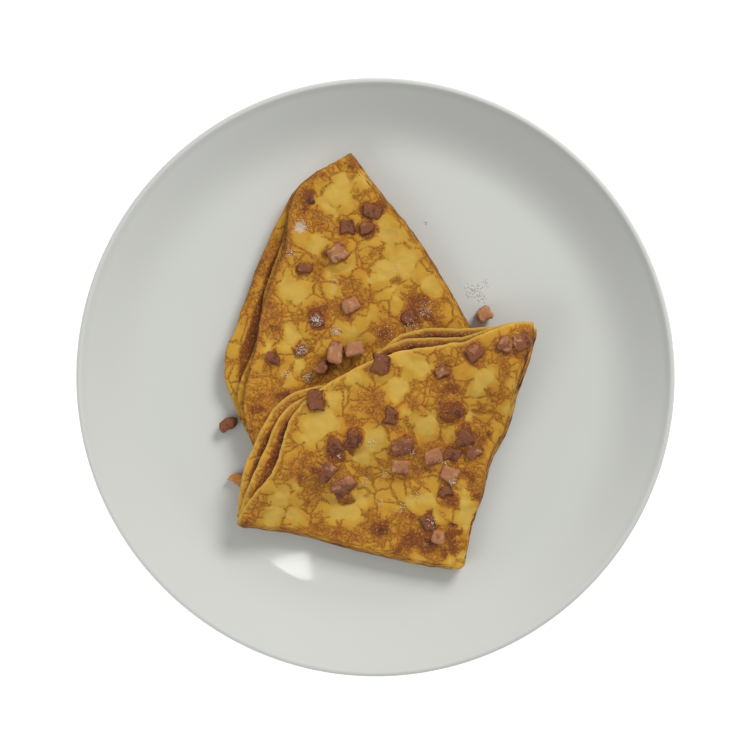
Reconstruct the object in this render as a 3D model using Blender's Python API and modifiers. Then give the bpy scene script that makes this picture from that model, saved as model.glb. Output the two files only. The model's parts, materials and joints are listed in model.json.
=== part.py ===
"""Two bacon pancakes, each folded in four, on a white coupe plate.

The origin is the middle of the plate's foot, on the table, with +Z up. Seen from above with +Y at the
top, the back pancake points up and the front pancake lies over its lower half. Lengths are in metres.
"""

import math

import bmesh
import bpy
from mathutils import Euler, Matrix, Vector

MM = 0.001

# The plate, turned about Z.
PLATE_RADIUS = 141.5 * MM
WELL_TOP = 7.5 * MM  # the well's upper side, above the table
WELL_RADIUS = 102 * MM  # the well is flat out to here
BEND_RADIUS = 130 * MM  # the wall has its full slope from here
WALL_SLOPE = 0.75
PLATE_THICKNESS = 4.4 * MM
RIM_ROUND = 1.7 * MM
FOOT_RADIUS = 75 * MM
FOOT_WIDTH = 4.5 * MM
FOOT_CHAMFER = 0.7 * MM
PLATE_STEPS = 64

# One pancake: a disc folded in half and in half again, so four layers lie on each other.
SHEET = 1.7 * MM  # thickness of the batter
PITCH_AT_FOLDS = 2.3 * MM  # from one layer to the next
PITCH_AT_EDGE = 2.7 * MM
PANCAKE_RADIUS = 116 * MM
NOSE = 3.0 * MM  # the layers start this far from the disc's centre
TIP_RADIUS = 2.7 * MM  # the four layers are pressed together beside the disc's centre
TIP_INWARD = 0.8 * MM  # from the disc's centre to the middle of the pressed tip
TIP_SUNK = 0.12 * MM  # the pressed tip lies this much inside the layers' outer sides
TIP_ROUND = 1.2 * MM
WRAP_BULGE = 1.0  # how far the outer fold stands out, in pitches
INNER_INSET = 0.7  # how far the inner fold lies inside the outer one, in pitches
REST_GAP = 0.4 * MM  # clearance under what lies on something
RINGS = (0.0, 0.13, 0.28, 0.44, 0.6, 0.75, 0.88, 1.0)  # stations from the tip to the open edge
LAYER_STEPS = 15
FOLD_STEPS = 3
LOWER_PAIR, UPPER_PAIR = 0, 1
TOP_LAYER = 3

# Folded bacon lies in pockets of the top layer.
POCKET_GAP = 0.3 * MM
POCKET_DEPTH = 1.0 * MM
DIE_BEVEL = 0.16  # share of a die's smallest side

DRAPE_FLAT = 6 * MM  # the front pancake stays level this far past the back one's outline
DRAPE_FALL = 38 * MM  # and comes down to the plate over this distance

# Distances of the four open edges from the tip, at even shares of the arc from side A to side B, in mm.
BACK_EDGES = (
    (121.5, 124.5, 117.5, 116, 115.5, 119, 115.3),
    (122, 125.5, 118.6, 117.4, 116.7, 120, 115.7),
    (119.5, 120, 110.5, 108.6, 110.5, 119.2, 115.8),
    (119.5, 117.5, 109.6, 108.2, 109.8, 118.8, 115.8),
)
FRONT_EDGES = (
    (120.5, 114, 113.5, 104, 115.5, 113.5, 110),
    (121.5, 115.5, 116.5, 104, 117.5, 115, 110.5),
    (123.5, 112, 114, 106, 113.5, 109, 109.5),
    (123.5, 110, 108.5, 110.5, 109.5, 102, 109.5),
)
# How far the folds of side A and side B stand out, at even steps from the tip to the open edge, in mm.
BACK_FOLD_WAVES = ((0, 0, 0, 0), (0, 2.0, 3.2, 3.0, 0.9, 0))
FRONT_FOLD_WAVES = ((0, -1.6, -1.0, -2.2, 0.9, -0.2, 0.2, 0), (0, 0.8, 0.4, -0.2, -1.8, -1.6, -0.8))

# Bacon in the top layers: x, y, length, width, height, turn, all in mm and degrees.
BACK_BACON = {
    "bacon_back_01": (-32.9, 86.3, 7.0, 6.4, 2.6, 25),
    "bacon_back_02": (-1.2, 79.0, 8.2, 6.4, 2.3, -12),
    "bacon_back_03": (-3.8, 70.8, 6.2, 6.0, 2.4, 8),
    "bacon_back_04": (-13.2, 71.4, 7.2, 6.4, 2.2, 4),
    "bacon_back_05": (-17.8, 58.8, 8.6, 8.2, 4.6, 30),
    "bacon_back_06": (-33.5, 51.9, 6.6, 4.6, 2.1, -10),
    "bacon_back_07": (-11.8, 34.1, 7.6, 6.4, 3.0, 24),
    "bacon_back_08": (-27.6, 27.6, 5.6, 5.0, 2.2, 40),
    "bacon_back_09": (-49.1, 9.3, 6.6, 6.0, 2.5, -24),
    "bacon_back_10": (-35.3, 12.9, 5.4, 4.6, 2.3, 15),
    "bacon_back_11": (15.8, 28.6, 6.4, 5.4, 2.3, 20),
}
FRONT_BACON = {
    "bacon_front_01": (2.2, 6.0, 9.2, 8.2, 2.8, 80),
    "bacon_front_02": (-28.1, -10.8, 9.6, 7.4, 3.0, 86),
    "bacon_front_03": (-18.6, -33.4, 8.0, 6.0, 2.6, 30),
    "bacon_front_04": (-10.6, -28.9, 7.4, 6.2, 2.7, -20),
    "bacon_front_05": (-22.2, -44.6, 9.6, 6.4, 2.9, 62),
    "bacon_front_06": (-15.4, -51.8, 11.4, 7.0, 3.0, 34),
    "bacon_front_07": (6.8, -18.0, 8.6, 6.2, 2.4, 68),
    "bacon_front_08": (31.4, 3.0, 6.4, 5.4, 2.4, 30),
    "bacon_front_09": (34.7, -15.1, 10.4, 5.8, 2.4, -14),
    "bacon_front_10": (46.6, 11.4, 7.4, 7.0, 2.6, 42),
    "bacon_front_11": (68.6, 16.6, 7.6, 7.2, 3.2, 18),
    "bacon_front_12": (60.6, 15.2, 6.8, 6.0, 2.8, 66),
    "bacon_front_13": (12.6, -32.6, 10.0, 7.6, 3.1, 16),
    "bacon_front_14": (11.4, -42.4, 7.8, 6.6, 3.2, -4),
    "bacon_front_15": (27.5, -37.3, 7.6, 7.2, 3.4, 24),
    "bacon_front_16": (42.4, -28.6, 7.2, 7.0, 3.0, 44),
    "bacon_front_17": (36.6, -36.8, 8.0, 5.2, 2.4, -8),
    "bacon_front_18": (47.2, -35.4, 7.0, 5.6, 2.7, 32),
    "bacon_front_19": (35.4, -46.4, 8.2, 7.0, 3.4, -28),
    "bacon_front_20": (33.4, -54.4, 7.0, 5.0, 2.4, 12),
    "bacon_front_21": (29.5, -76.2, 7.0, 6.0, 3.4, 82),
    "bacon_front_22": (24.8, -69.4, 7.0, 5.2, 2.3, 24),
}
# Loose bacon: x, y, length, width, height, turn, tilt and what it lies on.
LOOSE_BACON = {
    "bacon_loose_01": (-18.8, 11.2, 10.4, 7.4, 7.0, 82, 6, "back"),
    "bacon_loose_02": (-9.8, 13.4, 8.4, 7.0, 6.4, 14, -5, "back"),
    "bacon_loose_03": (-26.0, 4.4, 6.6, 5.2, 5.0, 40, 0, "back"),
    "bacon_loose_04": (-45.2, -18.0, 7.4, 4.8, 4.4, 62, 0, "back"),
    "bacon_loose_05": (-70.6, -23.0, 7.4, 6.2, 5.0, 20, 0, "plate"),
    "bacon_loose_06": (-66.0, -50.0, 9.6, 5.6, 3.2, 164, 10, "plate"),
    "bacon_loose_07": (52.2, 30.2, 7.4, 6.6, 6.4, 30, 0, "plate"),
}

GLAZE_WHITE = (0.78, 0.79, 0.77, 1)
BATTER_YELLOW = (0.55, 0.32, 0.075, 1)
BACON_PINK = (0.40, 0.15, 0.07, 1)


def clear_scene():
    for obj in list(bpy.data.objects):
        bpy.data.objects.remove(obj, do_unlink=True)


def new_collection(name):
    made = bpy.data.collections.new(name)
    bpy.context.scene.collection.children.link(made)
    return made


def surface_finish(name, colour, roughness):
    material = bpy.data.materials.new(name)
    material.use_nodes = True
    shader = material.node_tree.nodes["Principled BSDF"]
    shader.inputs["Base Color"].default_value = colour
    shader.inputs["Roughness"].default_value = roughness
    shader.inputs["Metallic"].default_value = 0.0
    material.diffuse_color = colour
    return material


def smoothstep(share):
    share = min(max(share, 0.0), 1.0)
    return share * share * (3 - 2 * share)


def along(values, share):
    """A smooth curve through evenly spaced values, read at a share of its length."""
    last = len(values) - 1
    place = min(max(share, 0.0), 1.0) * last
    i = min(int(place), last - 1)
    t = place - i
    before, start = values[max(i - 1, 0)], values[i]
    end, after = values[i + 1], values[min(i + 2, last)]
    return start + 0.5 * t * (
        end - before + t * (2 * before - 5 * start + 4 * end - after + t * (3 * (start - end) + after - before))
    )


def heading(degrees):
    return Vector((math.cos(math.radians(degrees)), math.sin(math.radians(degrees))))


def quarter_turn(v):
    return Vector((-v.y, v.x))


# The plate

def well_height(radius):
    """Height of the plate's upper side: a flat well, a soft bend and a straight wall."""
    bend = BEND_RADIUS - WELL_RADIUS
    t = min(max((radius - WELL_RADIUS) / bend, 0.0), 1.0)
    return WELL_TOP + WALL_SLOPE * (bend * (t**3 - t**4 / 2) + max(radius - BEND_RADIUS, 0.0))


def plate_profile():
    """The section at +X, from the middle of the well over the rim and down to the middle of the base."""
    rim_at = PLATE_RADIUS - 2 * RIM_ROUND
    rim_centre = Vector((PLATE_RADIUS - RIM_ROUND, well_height(rim_at) - 0.4 * MM))
    inner_radii = [0.0, WELL_RADIUS / 2] + [WELL_RADIUS + k * 6 * MM for k in range(7)]
    inner = [(r, well_height(r)) for r in inner_radii] + [(rim_at, well_height(rim_at))]
    rim = [
        (rim_centre.x + RIM_ROUND * math.cos(a), rim_centre.y + RIM_ROUND * math.sin(a))
        for a in (math.radians(d) for d in (110, 50, -10))
    ]
    outer_radii = [PLATE_RADIUS - (4 + k * 14) * MM for k in range(4)]
    outer = [
        (r, well_height(r) - PLATE_THICKNESS * (1 + 0.12 * smoothstep((r - WELL_RADIUS) / (40 * MM))))
        for r in outer_radii
    ]
    base = WELL_TOP - PLATE_THICKNESS
    foot_inner = FOOT_RADIUS - FOOT_WIDTH
    foot = [
        (FOOT_RADIUS + 2 * MM, base),
        (FOOT_RADIUS, FOOT_CHAMFER),
        (FOOT_RADIUS - FOOT_CHAMFER, 0.0),
        (foot_inner, 0.0),
        (foot_inner - 1.5 * MM, base),
        (0.0, base),
    ]
    return inner + rim + outer + foot


def build_plate(collection, finish):
    points = plate_profile()
    mesh = bpy.data.meshes.new("plate")
    mesh.from_pydata([(r, 0, z) for r, z in points], [(i, i + 1) for i in range(len(points) - 1)], [])
    plate = bpy.data.objects.new("plate", mesh)
    collection.objects.link(plate)
    mesh.materials.append(finish)
    screw = plate.modifiers.new("turn", "SCREW")
    screw.axis = "Z"
    screw.steps = screw.render_steps = PLATE_STEPS
    screw.use_merge_vertices = True
    screw.merge_threshold = 0.00005
    screw.use_smooth_shade = True
    return plate


# The pancakes

class Pancake:
    """A disc folded in four. Side A shows two folds, one over the other; side B is wrapped by one wide fold.

    Layers are counted from the plate up. Layers 0 and 1 are the lower pair, and 2 and 3 the upper pair.
    """

    def __init__(self, name, tip, side_a, side_b, edges, fold_waves, support, wave):
        self.name = name
        self.tip = Vector(tip)
        self.side_a = side_a
        self.side_b = side_b
        self.edges = edges
        self.fold_waves = fold_waves
        self.support = support
        self.wave = wave
        self.turning = 1 if side_b > side_a[UPPER_PAIR] else -1
        self.out_b = quarter_turn(heading(side_b)) * self.turning
        self.out_a = [quarter_turn(heading(a)) * -self.turning for a in side_a]
        self.centre = self.find_centre()

    def find_centre(self):
        """Where the layers' straight sides meet: inside the tip by the folds' own reach."""
        along_a, along_b = heading(self.side_a[UPPER_PAIR]), heading(self.side_b)
        reach_a = PITCH_AT_FOLDS / 2 + SHEET / 2
        reach_b = PITCH_AT_FOLDS * WRAP_BULGE + SHEET / 2
        return (
            self.tip
            - along_b * (reach_a / along_b.dot(self.out_a[UPPER_PAIR]))
            - along_a * (reach_b / along_a.dot(self.out_b))
        )

    def angle(self, layer, share):
        start = self.side_a[layer // 2]
        return start + (self.side_b - start) * share

    def reach(self, layer, share):
        """Distance from the centre to this layer's open edge."""
        ripple = 0.7 * MM * math.sin(math.pi * share) * math.sin(17 * share + 2.1 * layer + self.wave)
        wanted = along(self.edges[layer], share) * MM + ripple
        return wanted - (self.centre - self.tip).dot(heading(self.angle(layer, share)))

    def pitch(self, radius):
        return PITCH_AT_FOLDS + (PITCH_AT_EDGE - PITCH_AT_FOLDS) * smoothstep(radius / PANCAKE_RADIUS)

    def height(self, layer, x, y, radius, share):
        """Height of the middle of a layer. The layers share broad waves, which grow towards the edge."""
        out = min(radius / PANCAKE_RADIUS, 1.0) ** 2
        common = 0.5 * MM * out * (1 + math.sin(9 * share + self.wave))
        own = 0.15 * MM * out * math.sin(14 * share + 1.9 * layer + self.wave)
        swell = 0.25 * MM * (2 + math.sin(95 * x + self.wave) + math.cos(80 * y - 1.3 * self.wave))
        base = self.support(x, y) + REST_GAP + SHEET / 2
        return base + swell + common + own + layer * self.pitch(radius)

    def polar(self, x, y):
        """Radius from the centre, and share of the way from side A to side B, of a point seen from above."""
        v = Vector((x, y)) - self.centre
        angle = math.degrees(math.atan2(v.y, v.x)) % 360
        start = self.side_a[UPPER_PAIR]
        return v.length, (angle - start) / (self.side_b - start)

    def top(self, x, y):
        """Height of the top layer's upper side, carried on past its outline."""
        radius, share = self.polar(x, y)
        share = min(max(share, 0.0), 1.0)
        radius = min(radius, self.reach(TOP_LAYER, share))
        return self.height(TOP_LAYER, x, y, radius, share) + SHEET / 2

    def distance(self, x, y):
        """How far a point lies outside the pancake's outline, and 0 inside."""
        radius, share = self.polar(x, y)
        if 0 <= share <= 1:
            return max(radius - max(self.reach(k, share) for k in range(4)), 0.0)
        side = 0.0 if share < 0 else 1.0
        line = heading(self.angle(TOP_LAYER, side))
        v = Vector((x, y)) - self.centre
        nearest = line * min(max(v.dot(line), 0.0), self.reach(1, side))
        return (v - nearest).length

    def fold_wave(self, ring, share):
        """How far the sides' own waves carry a point outwards."""
        wave_a, wave_b = (along(values, ring) * MM for values in self.fold_waves)
        return self.out_a[UPPER_PAIR] * (wave_a * (1 - share) ** 2) + self.out_b * (wave_b * share**2)

    def layer_point(self, layer, ring, share):
        radius = NOSE + (self.reach(layer, share) - NOSE) * ring
        flat = self.centre + heading(self.angle(layer, share)) * radius + self.fold_wave(ring, share)
        if layer in (1, 2):
            flat -= self.out_b * (INNER_INSET * self.pitch(radius) * share)
        return Vector((flat.x, flat.y, self.height(layer, flat.x, flat.y, radius, share)))

    def fold_points(self, start, end, outward, bulge):
        """Points of a half-round fold between the ends of two layers, without the ends themselves."""
        middle, half = (start + end) / 2, (end - start) / 2
        points = []
        for k in range(1, FOLD_STEPS + 1):
            turn = math.pi * k / (FOLD_STEPS + 1)
            side = outward * (bulge * math.sin(turn))
            points.append(middle - half * math.cos(turn) + Vector((side.x, side.y, 0)))
        return points

    def ring_points(self, ring):
        """One closed row of the folded sheet, all the way round the disc."""
        shares = [k / LAYER_STEPS for k in range(LAYER_STEPS + 1)]
        layers = [[self.layer_point(k, ring, s) for s in shares] for k in range(4)]
        ends = ((1, 0, 0), (2, 1, -1), (3, 2, 0), (3, 0, -1))  # upper layer, lower layer, which end
        half = [(layers[a][i] - layers[b][i]).length / 2 for a, b, i in ends]
        return (
            layers[0][::-1]
            + self.fold_points(layers[0][0], layers[1][0], self.out_a[LOWER_PAIR], half[0])
            + layers[1]
            + self.fold_points(layers[1][-1], layers[2][-1], self.out_b, half[1])
            + layers[2][::-1]
            + self.fold_points(layers[2][0], layers[3][0], self.out_a[UPPER_PAIR], half[2])
            + layers[3]
            + self.fold_points(layers[3][-1], layers[0][-1], self.out_b, half[3] * WRAP_BULGE / 1.5)
        )


def build_tip(pancake, joins):
    """The round of batter at the folded corner, to be joined to the sheet."""
    x, y = pancake.centre + heading(pancake.angle(TOP_LAYER, 0.5)) * TIP_INWARD
    low = pancake.height(0, x, y, NOSE, 0.5) - SHEET / 2 + TIP_SUNK
    high = pancake.height(TOP_LAYER, x, y, NOSE, 0.5) + SHEET / 2 - TIP_SUNK
    bm = bmesh.new()
    bmesh.ops.create_cone(
        bm, cap_ends=True, segments=16, radius1=TIP_RADIUS, radius2=TIP_RADIUS, depth=high - low
    )
    rims = [edge for edge in bm.edges if len({round(v.co.z, 6) for v in edge.verts}) == 1]
    bmesh.ops.bevel(bm, geom=rims, offset=TIP_ROUND, segments=2, affect="EDGES", profile=0.5)
    mesh = bpy.data.meshes.new(pancake.name + "_tip")
    bm.to_mesh(mesh)
    bm.free()
    tip = bpy.data.objects.new(pancake.name + "_tip", mesh)
    tip.location = (x, y, (low + high) / 2)
    tip.hide_render = True
    tip.display_type = "WIRE"
    joins.objects.link(tip)
    return tip


def build_pancake(pancake, collection, joins, finish):
    """The folded sheet as an open surface, given its thickness by Solidify, with its pressed tip."""
    bm = bmesh.new()
    rows = [[bm.verts.new(p) for p in pancake.ring_points(ring)] for ring in RINGS]
    count = len(rows[0])
    for inner, outer in zip(rows, rows[1:]):
        for i in range(count):
            j = (i + 1) % count
            bm.faces.new((inner[i], inner[j], outer[j], outer[i]))
    bmesh.ops.recalc_face_normals(bm, faces=bm.faces)
    mesh = bpy.data.meshes.new(pancake.name)
    bm.to_mesh(mesh)
    bm.free()
    mesh.shade_smooth()
    mesh.materials.append(finish)
    obj = bpy.data.objects.new(pancake.name, mesh)
    collection.objects.link(obj)
    solidify = obj.modifiers.new("batter", "SOLIDIFY")
    solidify.thickness = SHEET
    solidify.offset = 0.0
    join = obj.modifiers.new("tip", "BOOLEAN")
    join.operation = "UNION"
    join.object = build_tip(pancake, joins)
    join.solver = "EXACT"
    return obj


# The bacon

def uneven(seed, corner):
    """A steady small number for each corner of each die, so that no two are alike."""
    return math.sin(12.9898 * seed + 78.233 * corner) * 0.5


def die_mesh(name, size, seed, grow=0.0):
    """A cut cube of bacon with uneven corners and rounded edges. A cutter for its pocket grows on all sides."""
    bm = bmesh.new()
    bmesh.ops.create_cube(bm, size=1.0)
    for i, vert in enumerate(bm.verts):
        for axis in range(3):
            vert.co[axis] *= 1 + 0.22 * uneven(seed, 3 * i + axis)
            vert.co[axis] *= size[axis]
            vert.co[axis] += math.copysign(grow, vert.co[axis])
    bmesh.ops.bevel(
        bm,
        geom=bm.edges[:],
        offset=DIE_BEVEL * min(size),
        segments=1,
        affect="EDGES",
        profile=0.5,
    )
    bmesh.ops.recalc_face_normals(bm, faces=bm.faces)
    mesh = bpy.data.meshes.new(name)
    bm.to_mesh(mesh)
    bm.free()
    return mesh


def surface_turn(height, x, y, turn):
    """Rotation that lays a die's base on a sloping surface and turns it about its own upright."""
    step = 3 * MM
    slope_x = (height(x + step, y) - height(x - step, y)) / (2 * step)
    slope_y = (height(x, y + step) - height(x, y - step)) / (2 * step)
    up = Vector((-slope_x, -slope_y, 1)).normalized()
    tilt = Vector((0, 0, 1)).rotation_difference(up)
    return tilt.to_matrix() @ Matrix.Rotation(math.radians(turn), 3, "Z"), up


def place(obj, where, rotation):
    obj.matrix_world = Matrix.Translation(where) @ rotation.to_4x4()


def build_die(name, size, seed, where, rotation, collection, finish, cutters=None):
    """One die, with a slightly larger copy that cuts the room for it."""
    die = bpy.data.objects.new(name, die_mesh(name, size, seed))
    die.data.materials.append(finish)
    collection.objects.link(die)
    place(die, where, rotation)
    if cutters:
        cutter = bpy.data.objects.new(name + "_pocket", die_mesh(name + "_pocket", size, seed, POCKET_GAP))
        cutter.hide_render = True
        cutter.display_type = "WIRE"
        cutters.objects.link(cutter)
        place(cutter, where, rotation)


def build_embedded(pancake, pieces, collection, cutters, finish):
    """Bacon cooked into the top layer."""
    for seed, (name, (x, y, length, width, high, turn)) in enumerate(pieces.items(), 1):
        size = (length * MM, width * MM, high * MM)
        x, y = x * MM, y * MM
        rotation, up = surface_turn(pancake.top, x, y, turn)
        where = Vector((x, y, pancake.top(x, y))) + up * (size[2] / 2 - POCKET_DEPTH + POCKET_GAP)
        build_die(name, size, seed, where, rotation, collection, finish, cutters)


def build_loose(pieces, supports, collection, cutters, finish):
    """Bacon that has slipped out of the folds. What lies on the back pancake is tucked into the front one."""
    for seed, (name, (x, y, length, width, high, turn, tilt, on)) in enumerate(pieces.items(), 40):
        size = (length * MM, width * MM, high * MM)
        x, y = x * MM, y * MM
        rotation, up = surface_turn(supports[on], x, y, turn)
        rotation = rotation @ Euler((0, math.radians(tilt), 0)).to_matrix()
        lift = size[2] * 0.56 + abs(math.sin(math.radians(tilt))) * size[0] / 2
        where = Vector((x, y, supports[on](x, y))) + up * (lift + REST_GAP)
        build_die(name, size, seed, where, rotation, collection, finish, cutters if on == "back" else None)


def cut_pockets(pancake_object, cutters):
    pockets = pancake_object.modifiers.new("pockets", "BOOLEAN")
    pockets.operation = "DIFFERENCE"
    pockets.operand_type = "COLLECTION"
    pockets.collection = cutters
    pockets.solver = "EXACT"


def plate_surface(x, y):
    return well_height(math.hypot(x, y))


def make_pancakes():
    back = Pancake(
        "pancake_back",
        tip=(53 * MM, 11 * MM),
        side_a=(195, 204.5),
        side_b=124,
        edges=BACK_EDGES,
        fold_waves=BACK_FOLD_WAVES,
        support=plate_surface,
        wave=0.6,
    )

    def under_front(x, y):
        """The plate, and the back pancake with a soft slope down beside it."""
        share = 1 - smoothstep((back.distance(x, y) - DRAPE_FLAT) / DRAPE_FALL)
        plate = plate_surface(x, y)
        return plate + (back.top(x, y) - plate) * share

    front = Pancake(
        "pancake_front",
        tip=(41.2 * MM, -93.2 * MM),
        side_a=(72.5, 74),
        side_b=168.5,
        edges=FRONT_EDGES,
        fold_waves=FRONT_FOLD_WAVES,
        support=under_front,
        wave=2.4,
    )
    return back, front


def main():
    clear_scene()
    collection = new_collection("bacon_pancakes_on_a_plate")
    joins = new_collection("pressed_tips")
    back_pockets = new_collection("back_pockets")
    front_pockets = new_collection("front_pockets")
    glaze = surface_finish("white_glaze", GLAZE_WHITE, 0.12)
    batter = surface_finish("browned_batter", BATTER_YELLOW, 0.55)
    bacon = surface_finish("fried_bacon", BACON_PINK, 0.45)

    build_plate(collection, glaze)
    back, front = make_pancakes()
    back_object = build_pancake(back, collection, joins, batter)
    front_object = build_pancake(front, collection, joins, batter)
    build_embedded(back, BACK_BACON, collection, back_pockets, bacon)
    build_embedded(front, FRONT_BACON, collection, front_pockets, bacon)
    supports = {"back": back.top, "plate": plate_surface}
    build_loose(LOOSE_BACON, supports, collection, front_pockets, bacon)
    cut_pockets(back_object, back_pockets)
    cut_pockets(front_object, front_pockets)


main()
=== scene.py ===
"""The finish of two bacon pancakes on a white coupe plate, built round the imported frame.

Lengths are in metres, +Z is up and +Y is the top of the picture, which is taken from straight above.
"""

import json
import math
import random

import bmesh
import bpy
from bpy.props import FloatProperty, FloatVectorProperty, IntProperty, PointerProperty
from mathutils import Euler, Matrix, Vector, noise

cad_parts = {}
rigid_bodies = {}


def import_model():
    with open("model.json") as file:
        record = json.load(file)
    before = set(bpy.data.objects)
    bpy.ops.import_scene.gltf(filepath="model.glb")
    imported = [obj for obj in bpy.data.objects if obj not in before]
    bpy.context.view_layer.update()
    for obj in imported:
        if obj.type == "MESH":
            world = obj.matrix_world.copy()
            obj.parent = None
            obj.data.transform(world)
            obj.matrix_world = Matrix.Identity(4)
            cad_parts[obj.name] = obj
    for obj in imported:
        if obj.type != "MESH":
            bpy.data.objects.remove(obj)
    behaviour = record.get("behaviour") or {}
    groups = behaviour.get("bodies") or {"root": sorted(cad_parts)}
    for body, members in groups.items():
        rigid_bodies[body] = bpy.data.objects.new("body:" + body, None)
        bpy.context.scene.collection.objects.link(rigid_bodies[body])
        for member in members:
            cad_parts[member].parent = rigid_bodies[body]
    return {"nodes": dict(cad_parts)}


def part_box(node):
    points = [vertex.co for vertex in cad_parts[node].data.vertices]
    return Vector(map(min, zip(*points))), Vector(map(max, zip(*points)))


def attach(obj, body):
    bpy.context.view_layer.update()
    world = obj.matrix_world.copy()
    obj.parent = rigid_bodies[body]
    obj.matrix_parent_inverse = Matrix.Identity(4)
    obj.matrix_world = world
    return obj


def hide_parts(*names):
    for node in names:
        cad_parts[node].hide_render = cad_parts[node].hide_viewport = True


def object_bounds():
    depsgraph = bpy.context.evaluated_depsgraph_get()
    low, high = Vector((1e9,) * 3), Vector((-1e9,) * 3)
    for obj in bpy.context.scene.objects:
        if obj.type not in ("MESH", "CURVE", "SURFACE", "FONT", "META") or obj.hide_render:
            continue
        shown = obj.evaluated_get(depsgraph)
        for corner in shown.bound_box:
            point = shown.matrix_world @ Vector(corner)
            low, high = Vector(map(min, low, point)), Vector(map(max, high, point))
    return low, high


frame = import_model()
CAD_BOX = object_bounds()

bl_info = {
    "name": "Bacon Pancakes",
    "version": (1, 0, 0),
    "blender": (4, 5, 0),
    "location": "View3D > Sidebar > Pancakes",
    "description": "Two folded pancakes with fried bacon on a white plate",
    "category": "Object",
}

MM = 0.001

# The plate's section, as its solid has it.
WELL_TOP = 7.5 * MM
WELL_RADIUS = 102 * MM
BEND_RADIUS = 130 * MM
WALL_SLOPE = 0.75
PLATE_THICKNESS = 4.4 * MM
RIM_ROUND = 1.7 * MM
FOOT_RADIUS = 75 * MM
FOOT_WIDTH = 4.5 * MM
FOOT_CHAMFER = 0.7 * MM
# Steps of its section across the well, up the wall, and back down the underside.
WELL_STEP = 8 * MM
WALL_STEP = 2 * MM
UNDER_STEP = 3 * MM

# The pancakes' folds, as their solids have them.
SHEET = 1.7 * MM
PITCH_AT_FOLDS = 2.3 * MM  # from one layer to the next
PITCH_AT_EDGE = 2.7 * MM
PANCAKE_RADIUS = 116 * MM
NOSE = 3.0 * MM  # radius of the innermost row, at the folded corner
WRAP_BULGE = 1.0
INNER_INSET = 0.7
REST_GAP = 0.4 * MM
DRAPE_FLAT = 6 * MM
DRAPE_FALL = 38 * MM
LOWER_PAIR, UPPER_PAIR = 0, 1
TOP_LAYER = 3

# The pressed round of batter at the folded corner.
TIP_RADIUS = 4.1 * MM
TIP_INWARD = 2.4 * MM
TIP_SUNK = 0.05 * MM
TIP_ROUND = 1.6 * MM
TIP_CRUST = -0.2

# The finish of the batter: how far each effect reaches.
POCKET_SLOPE = 4 * MM  # batter that rises to a piece of bacon
CURL_WIDTH = 7 * MM  # open edge that turns up
SCORCH_WIDTH = 6 * MM  # browned rim along the open edge
SCORCH_LINE = 1.4 * MM  # its dark outer line
GAP_FADE = 3 * MM  # start of the painted shade on the batter between layers
PATCH_SOFTNESS = 1.5  # reach of a patch, as a multiple of its radius
PATCH_DRIFT = 4.2 * MM  # how far noise moves a patch's outline
LIP_WIDTH = 2.4 * MM  # pale open edge
CREASE_WIDTH = 2.2 * MM  # toasted line along a fold
THIN_WIDTH = 4 * MM  # sheet that thins towards the open edge
THINNED = 0.45
DEEPEST_SINK = 1.2 * MM  # how far batter may sink beside a low piece of bacon
# What a sheet's points carry for its material: browning (partly painted shade below the top layer), open
# edge, fold, layer and melted sugar.
MARKS = ("crust", "edge", "fold", "sheet", "frost")

# Distances of the four open edges from the tip, at even shares of the arc from side A to side B, in mm.
BACK_EDGES = (
    (121.5, 124.5, 117.5, 116, 115.5, 119, 115.3),
    (122, 125.5, 118.6, 117.4, 116.7, 120, 115.7),
    (119.5, 120, 110.5, 108.6, 110.5, 119.2, 115.8),
    (119.5, 117.5, 109.6, 108.2, 109.8, 118.8, 115.8),
)
FRONT_EDGES = (
    (120.5, 114, 113.5, 104, 115.5, 113.5, 110),
    (121.5, 115.5, 116.5, 104, 117.5, 115, 110.5),
    (123.5, 112, 114, 106, 113.5, 109, 109.5),
    (123.5, 110, 108.5, 110.5, 109.5, 102, 109.5),
)
# How far the folds of side A and side B stand out, at even steps from the tip to the open edge, in mm.
BACK_FOLD_WAVES = ((0, 0, 0, 0), (0, 2.0, 3.2, 3.0, 0.9, 0))
FRONT_FOLD_WAVES = ((0, -1.6, -1.0, -2.2, 0.9, -0.2, 0.2, 0), (0, 0.8, 0.4, -0.2, -1.8, -1.6, -0.8))

# Toasted and browned patches, and pale cells with a negative strength: x, y, radius and strength, in mm.
BACK_PATCHES = (
    (-11, 102, 5, 0.6), (-18, 102, 3, 0.5), (-25, 98, 3, 0.5), (-35, 80, 4, 0.7), (-27, 75, 4, 0.4),
    (-46, 67, 4, 0.8), (-42, 61, 4, 0.5), (-44, 54, 3, 0.4), (-12, 45, 4, 0.5), (1, 60, 3, 0.45),
    (21, 33, 7, 1.0), (16, 27, 6, 1.0), (24, 29, 5, 0.8), (5, 21, 5, 0.8), (-26, 30, 5, 0.8),
    (-30, 20, 4, 0.6), (-50, 31, 4, 0.6), (-50, 23, 5, 0.6), (-50, 7, 5, 0.6), (-42, 9, 4, 0.4),
    (-57, -7, 4, 0.5), (-58, -15, 5, 0.8), (-53, -18, 4, 0.5), (-58, -24, 4, 0.7), (-42, -10, 5, 1.1),
    (-24, 6, 3, 1.1), (-22, 59, 3, 0.9),
    (-17, 88, 9, -1.2), (-23, 81, 6, -1.0), (-7, 94, 5, -0.9), (-29, 63, 6, -1.0), (5, 68, 9, -1.0),
    (15, 54, 8, -0.9), (6, 51, 5, -1.2), (-22, 49, 3.5, -0.8), (-1, 47, 5, -0.9), (9, 39, 5.5, -0.8),
    (-40, 42, 10, -1.1), (-13, 53, 5, -0.9), (-41, 20, 7, -1.0), (-11, 22, 7, -0.9), (-21, 41, 5, -0.9),
    (25, 43, 6, -0.9), (-1, 31, 4, -0.6), (-37, 5, 5, -0.9), (-43, -2, 5, -0.7), (-54, 15, 4, -0.8),
)
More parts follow.
